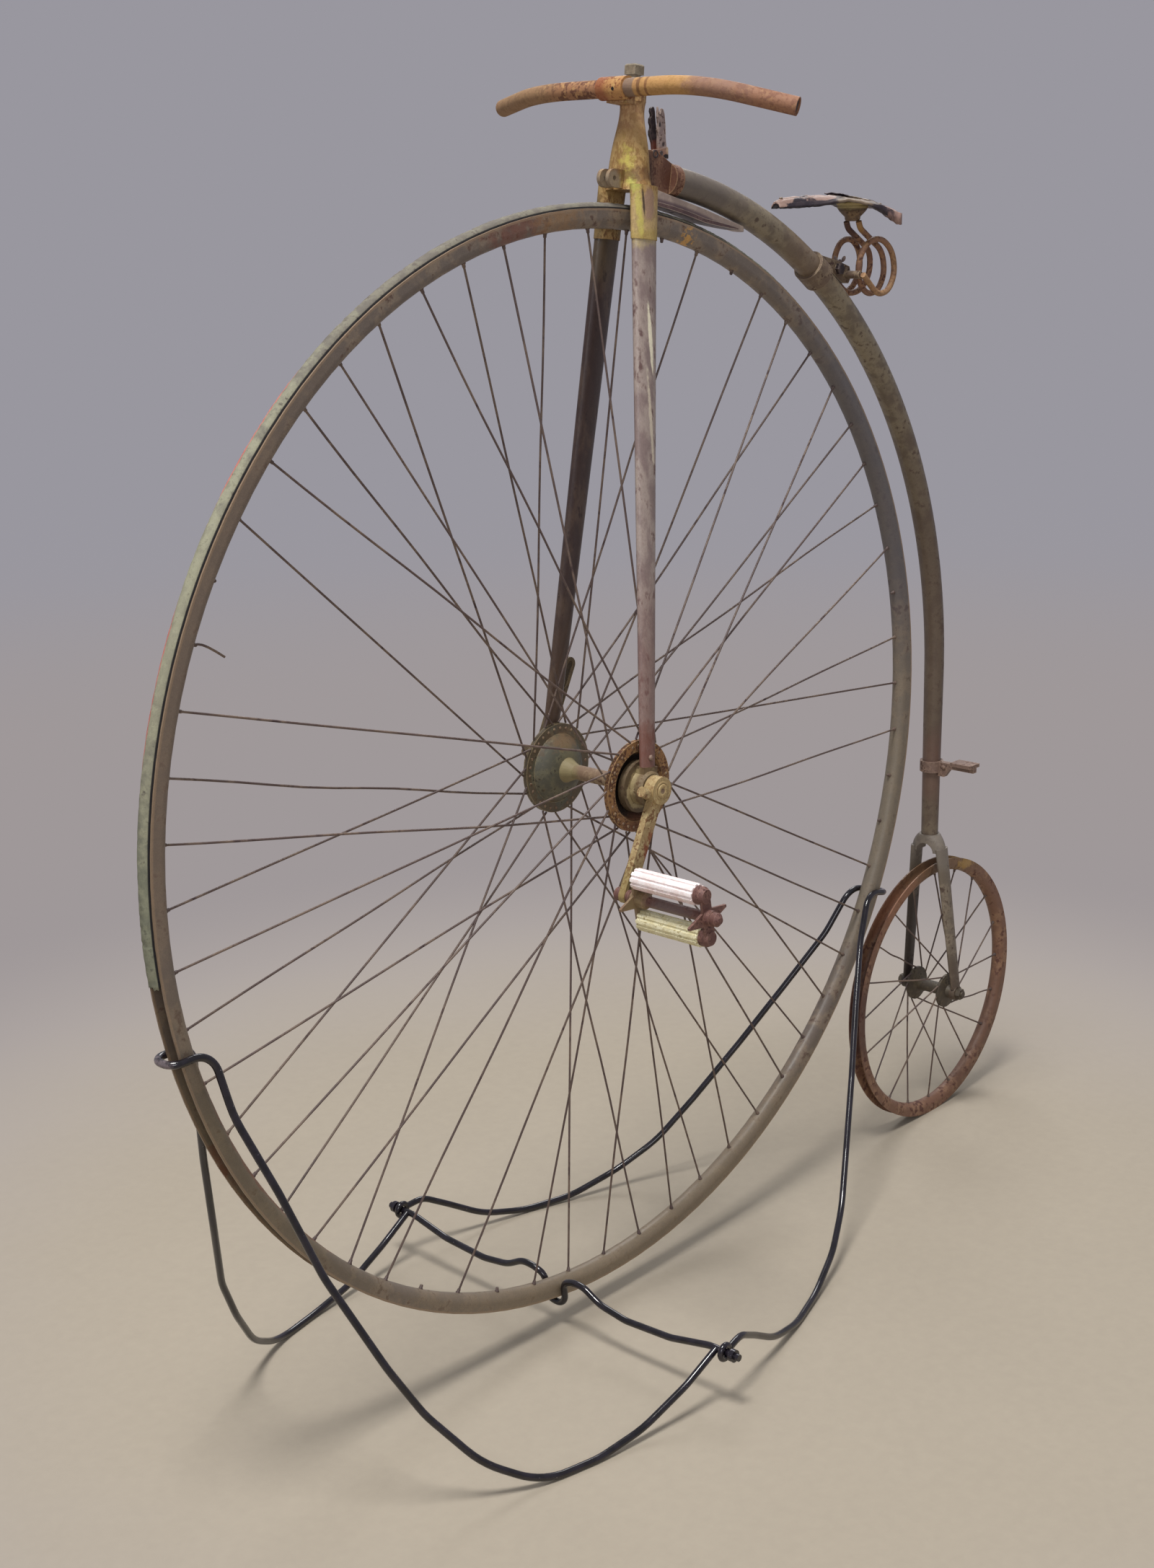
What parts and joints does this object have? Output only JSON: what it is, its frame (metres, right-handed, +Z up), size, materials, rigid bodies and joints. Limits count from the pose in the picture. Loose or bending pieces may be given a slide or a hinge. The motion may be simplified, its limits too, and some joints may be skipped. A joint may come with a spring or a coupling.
{
  "type": "high wheel bicycle in a display stand",
  "caption": "Antique high wheel bicycle with a large front and a small rear wheel, standing in a display stand of bent steel rod.",
  "frame": {"origin": "on the floor, under the middle of the object's box", "axes": "+X the way the bicycle rides, +Y to the rider's left, +Z up"},
  "size_m": [1.5966, 0.586, 1.4902],
  "materials": {
    "stand_paint": "glossy black paint, rubbed to grey in places",
    "ochre_paint": "ochre paint, stained and chipped",
    "olive_rust": "olive brown rust",
    "grey_primer": "grey mauve paint over dark rust, chipped along its edges",
    "brown_enamel": "worn dark brown enamel with a dull sheen",
    "rim_steel": "dark grey brown steel",
    "spoke_steel": "brown rusted wire",
    "bar_steel": "brown rust with traces of plating",
    "brown_rust": "even brown rust",
    "dark_rust": "near black rust",
    "tyre_rubber": "dull grey, dusty and stained",
    "pink_rubber": "perished pinkish white rubber",
    "cream_rubber": "perished cream rubber",
    "saddle_leather": "dry black leather, cracked and torn"
  },
  "bodies": {
    "stand_and_fork": {"stand_front_loop": "stand_paint", "stand_cross_rod": "stand_paint", "stand_rear_loop": "stand_paint", "fork_head": "ochre_paint", "fork_leg_left": "grey_primer", "fork_leg_right": "grey_primer", "bearing_housing_left": "ochre_paint", "bearing_housing_right": "olive_rust", "head_bolt": "brown_rust", "handlebar_lug": "ochre_paint", "handlebar": "bar_steel"},
    "front_wheel": {"front_rim": "rim_steel", "front_tyre": "tyre_rubber", "front_spokes_left": "spoke_steel", "front_spokes_right": "spoke_steel", "hub_flange_left": "ochre_paint", "hub_flange_right": "olive_rust", "front_axle": "brown_rust", "crank_left": "ochre_paint", "crank_right": "olive_rust", "pedal_spindle": "brown_rust"},
    "pedal": {"pedal_frame": "brown_rust", "pedal_block_upper": "pink_rubber", "pedal_block_lower": "cream_rubber"},
    "backbone": {"neck": "olive_rust", "backbone": "brown_enamel", "blade_trough": "brown_enamel", "brake_strips": "dark_rust", "saddle_clamp": "dark_rust", "saddle_spring": "brown_rust", "saddle_boss": "dark_rust", "saddle_top": "saddle_leather", "step": "olive_rust", "rear_fork": "brown_enamel", "rear_axle": "dark_rust"},
    "rear_wheel": {"rear_rim": "brown_rust", "rear_spokes": "spoke_steel", "rear_hub": "olive_rust"}
  },
  "joints": [
    {"name": "front_wheel_spin", "type": "hinge", "parent": "stand_and_fork", "child": "front_wheel", "pos_m": [0.14089, 0, 0.6855], "axis": [0, 1, 0], "continuous": true},
    {"name": "pedal_spin", "type": "hinge", "parent": "front_wheel", "child": "pedal", "pos_m": [0.19798, 0.16, 0.5715], "axis": [0, 1, 0], "continuous": true},
    {"name": "steering", "type": "hinge", "parent": "stand_and_fork", "child": "backbone", "pos_m": [0.14089, 0, 0.6855], "axis": [-0.1045, 0, 0.9945], "range_deg": [-30, 30]},
    {"name": "rear_wheel_spin", "type": "hinge", "parent": "backbone", "child": "rear_wheel", "pos_m": [-0.60009, 0, 0.1983], "axis": [0, 1, 0], "continuous": true}
  ]
}
